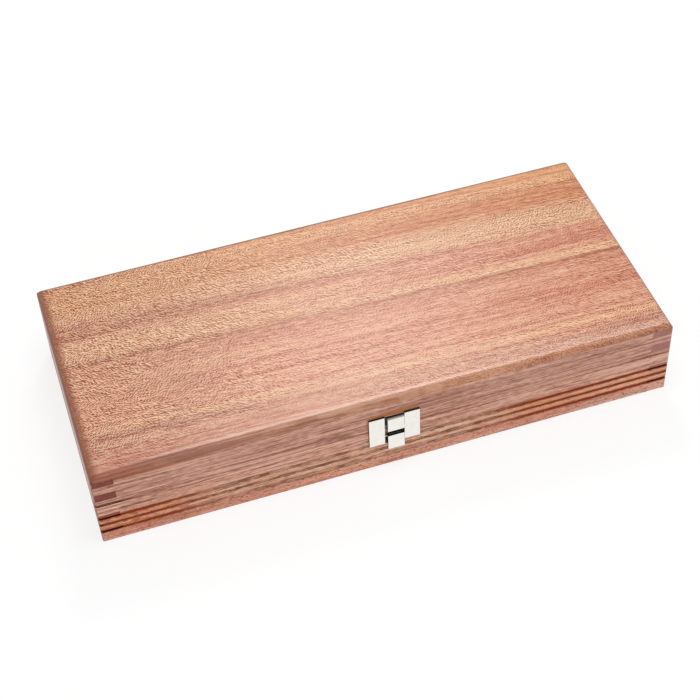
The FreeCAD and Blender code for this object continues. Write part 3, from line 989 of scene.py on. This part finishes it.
# %% [markdown]
# ## The floor panel and the racks
# The floor is a plain sheet of plywood that shows only from below, and the racks are bars of sanded wood
# across the base. Both use the board finish, with a paler plank for the plywood. Nobody leaves sharp edges
# where fingers go, so the racks are copied, merged and bevelled: a bevel of a third of a millimetre catches
# the light along each notch.

# %% Dress the floor and soften the racks
rack_bevel, bevel_segments = 0.00035, 3
flat_angle, bevel_angle, sharp_angle = (math.radians(degrees) for degrees in (1.0, 40.0, 35.0))


def softened_copy(node, name):
    """A copy of a frame part with its sharp edges eased by a narrow bevel."""
    shape = bmesh.new()
    shape.from_mesh(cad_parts[node].data)
    bmesh.ops.remove_doubles(shape, verts=shape.verts, dist=merge_distance)
    bmesh.ops.dissolve_limit(shape, angle_limit=flat_angle, verts=shape.verts, edges=shape.edges)
    piece = linked(name, mesh_of(shape, name + "_start"))
    edges = piece.modifiers.new("eased_edges", "BEVEL")
    edges.width = rack_bevel
    edges.segments = bevel_segments
    edges.limit_method = "ANGLE"
    edges.angle_limit = bevel_angle
    softened = plain_mesh(piece, name)
    softened.shade_smooth()
    softened.set_sharp_from_angle(angle=sharp_angle)
    return piece


ply_tones = (tone(150, 104, 74), tone(190, 144, 110), tone(214, 172, 138), tone(230, 192, 160))
rack_tones = (tone(130, 84, 60), tone(180, 128, 100), tone(212, 164, 132), tone(232, 188, 156))
plain_end = (tone(146, 98, 72), tone(176, 128, 98))
floor_cut = (930.0, 400.0, 70.0)
rack_cuts = {"rack_left": (720.0, 440.0, 30.0), "rack_right": (980.0, 470.0, 130.0)}
dress(board_wood("floor_plywood", "X", floor_cut, ply_tones, plain_end), "base_floor")
for node, cut_from in rack_cuts.items():
    bar = softened_copy(node, node + "_bar")
    bar.data.materials.clear()
    bar.data.materials.append(board_wood(node + "_wood", "Y", cut_from, rack_tones, plain_end))
    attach(bar, "base")
    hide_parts(node)
    print(bar.name + ":", len(bar.data.polygons), "faces")

# %% [markdown]
# ## The felt linings
# A sheet of dense wool felt is glued on the floor and another under the lid, so that the cutlery doesn't
# rattle. Felt is pressed, not woven: it has no threads, only short fibres that lie every way, a soft uneven
# face and a slightly swollen cut edge. The sheet is a fine grid with a low, lumpy nap and an edge that
# rolls down to the glue. The finish mixes two shades by fine noise, is quite dull, and has a little sheen
# from the fibres that stand up.

# %% The felt's finish
fibre_lump, clump_lump, fibre_height = (0.35, 0.35, 0.35), (5.0, 5.0, 5.0), 0.18


def wool_felt(name, light, dark):
    finish, tree, shader = new_finish(name)
    here = place_in_mm(tree)[0]
    fibres = noise(here, fibre_lump, detail=4.0, seed=3.3, rough=0.65)
    clumps = noise(here, clump_lump, seed=8.8)
    mottle = arithmetic("MULTIPLY_ADD", clumps, 0.5, fibres)
    feed_named(shader, Base_Color=blend(eased(mottle, 0.55, 0.95), dark, light), Roughness=0.95,
               Specular_IOR_Level=0.15, Sheen_Weight=0.35, Sheen_Roughness=0.5)
    relief(shader, fibres, fibre_height)
    return finish


felt_finish = wool_felt("wine_felt", tone(112, 38, 44), tone(74, 20, 28))
print("felt finish:", len(felt_finish.node_tree.nodes), "nodes")

# %% Lay the felt sheets
felt_step, edge_roll, nap, nap_lumps_per_metre = 0.0022, 0.0012, 0.00010, 260.0
roll_share = 0.5


def felt_sink(low, high, x, y):
    """How far the felt's face lies below its full thickness, as a share of it."""
    rim = min(x - low.x, high.x - x, y - low.y, high.y - y)
    fall = max(0.0, 1.0 - rim / edge_roll) ** 2 * roll_share
    lump = nap * (0.5 + 0.5 * perlin(Vector((x, y, 0.0)) * nap_lumps_per_metre))
    return fall + lump / (high.z - low.z)


def felt_sheet(name, node, nap_up):
    """A thin closed sheet in the place of a lining, with its nap up or down."""
    low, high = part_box(node)
    across, along = (round((high[k] - low[k]) / felt_step) for k in (0, 1))
    glue, face = (low.z, high.z) if nap_up else (high.z, low.z)
    sheet = bmesh.new()
    points = {}
    for layer in ("glue", "face"):
        for i in range(across + 1):
            for j in range(along + 1):
                x = low.x + (high.x - low.x) * i / across
                y = low.y + (high.y - low.y) * j / along
                z = glue if layer == "glue" else face + (glue - face) * felt_sink(low, high, x, y)
                points[layer, i, j] = sheet.verts.new((x, y, z))
    for i in range(across):
        for j in range(along):
            around = ((i, j), (i + 1, j), (i + 1, j + 1), (i, j + 1))
            sheet.faces.new([points["face", *place] for place in around]).smooth = True
            sheet.faces.new([points["glue", *place] for place in reversed(around)])
    border = [(i, 0) for i in range(across)] + [(across, j) for j in range(along)]
    border += [(i, along) for i in range(across, 0, -1)] + [(0, j) for j in range(along, 0, -1)]
    for this, after in zip(border, border[1:] + border[:1]):
        corners = (("glue", *this), ("glue", *after), ("face", *after), ("face", *this))
        sheet.faces.new([points[corner] for corner in corners])
    bmesh.ops.recalc_face_normals(sheet, faces=sheet.faces)
    mesh = mesh_of(sheet, name)
    mesh.materials.append(felt_finish)
    return linked(name, mesh), (high.x - low.x, high.y - low.y)


linings = {
    "base_felt": ("base_lining", "base", "base_floor", True),
    "lid_felt": ("lid_lining", "lid", "lid_panel", False),
}
for name, (node, body, carrier, nap_up) in linings.items():
    felt, flat = felt_sheet(name, node, nap_up)
    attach(felt, body)
    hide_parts(node)
    print(name + ": %.1f x %.1f mm" % (flat[0] * MM, flat[1] * MM))

# %% [markdown]
# ## Light, floor and camera
# The chest stands on a white ground in soft, even light. One lamp hangs overhead, so the lid is the
# brightest face. A second one behind lays a faint sheen over the back of the lid, and a broad one in front
# lifts the front boards and the catch. A white surround fills the shadows. The camera sees the surround and
# the floor as white, and so do reflections, while the light that they give stays plain. Part of the floor's
# white is its own, so a soft shadow is left.

# %% Set the surround and the lamps
scene = bpy.context.scene
scene.view_settings.view_transform = "Standard"
fill_level = 0.42
lid_middle = (0.0, 0.0, panel_high.z)
lamps = {
    "overhead_lamp": ((0.0, -0.10, 0.85), 0.32, 1.9),
    "back_lamp": ((0.21, 0.66, 0.84), 0.30, 2.7),
    "front_lamp": ((-0.25, -1.20, 0.45), 0.80, 3.4),
}


def seen_directly(tree):
    """1 for a ray that shows the surround itself: from the camera, or by reflection or through glass."""
    rays = tree.nodes.new("ShaderNodeLightPath").outputs
    return larger(rays["Is Camera Ray"], rays["Is Glossy Ray"], rays["Is Transmission Ray"])


surround = bpy.data.worlds.new("white_surround")
scene.world = surround
surround.use_nodes = True
sky = surround.node_tree
backdrop = sky.nodes["Background"]
feed_named(backdrop, Color=grey(1.0), Strength=between(seen_directly(sky), fill_level, 1.0))
for name, (place, size, power) in lamps.items():
    light = bpy.data.lights.new(name, "AREA")
    light.shape = "DISK"
    light.size = size
    light.energy = power
    lamp = linked(name, light)
    lamp.location = place
    lamp.rotation_euler = (Vector(lid_middle) - Vector(place)).to_track_quat("-Z", "Y").to_euler()
print("surround and", len(lamps), "soft lamps set")

# %% Lay the floor
floor_reach = 4.0
own_white, lit_share = 0.80, 0.30
floor_shell = bmesh.new()
bmesh.ops.create_grid(floor_shell, x_segments=1, y_segments=1, size=floor_reach)
floor = linked("floor", mesh_of(floor_shell, "floor"))
floor_paint, paint_tree, paint_shader = new_finish("floor_white")
feed_named(paint_shader, Base_Color=grey(0.8), Roughness=1.0, Specular_IOR_Level=0.0)
glow = paint_tree.nodes.new("ShaderNodeEmission")
feed_named(glow, Strength=own_white / (1.0 - lit_share))
glowing = times(seen_directly(paint_tree), 1.0 - lit_share)
mixer = fed_node("ShaderNodeMixShader", glowing, paint_shader.outputs[0], glow.outputs[0])
feed(paint_tree.nodes["Material Output"].inputs["Surface"], mixer.outputs[0])
floor.data.materials.append(floor_paint)
print("floor: %.0f m square" % (2 * floor_reach))

# %% Set the camera
eye = Vector((-0.18547, -0.64721, 0.73306))
azimuth, elevation, roll = -15.954, 46.784, -2.913
lens, sensor_width, nearest = 84.72, 36.0, 0.01
view = Matrix.Translation(eye)
for degrees, axis in ((azimuth, "Z"), (90.0 - elevation, "X"), (roll, "Z")):
    view = view @ Matrix.Rotation(math.radians(degrees), 4, axis)
camera_data = bpy.data.cameras.new("camera")
camera_data.lens = lens
camera_data.sensor_width = sensor_width
camera_data.clip_start = nearest
camera = linked("camera", camera_data)
camera.matrix_world = view
scene.camera = camera
print("camera at %.3f, %.3f, %.3f m" % tuple(eye))
